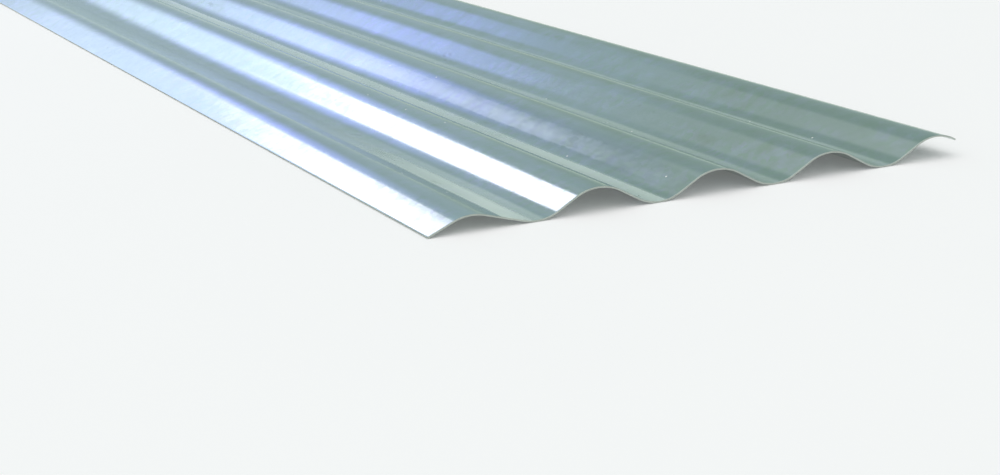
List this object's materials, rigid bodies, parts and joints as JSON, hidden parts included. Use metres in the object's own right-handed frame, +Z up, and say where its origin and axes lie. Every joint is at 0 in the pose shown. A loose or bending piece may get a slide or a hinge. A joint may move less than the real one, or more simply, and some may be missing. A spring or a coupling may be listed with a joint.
{
  "type": "corrugated metal sheet",
  "caption": "Long galvanised steel sheet rolled into even rounded waves, with a shallower edge wave, for covering roofs, walls and fences.",
  "frame": {"origin": "under the middle of the sheet, on the surface that the troughs lie on", "axes": "+Y along the waves, from the near cut end to the far one; +X across the waves, from the shallow edge wave to the cut-off one; +Z up"},
  "size_m": [0.5752, 2.438, 0.0238],
  "materials": {
    "galvanised_steel": "bright hot-dip galvanised, smooth and semi-gloss, with a faint spangle"
  },
  "bodies": {
    "root": {"corrugated_sheet": "galvanised_steel"}
  },
  "joints": []
}
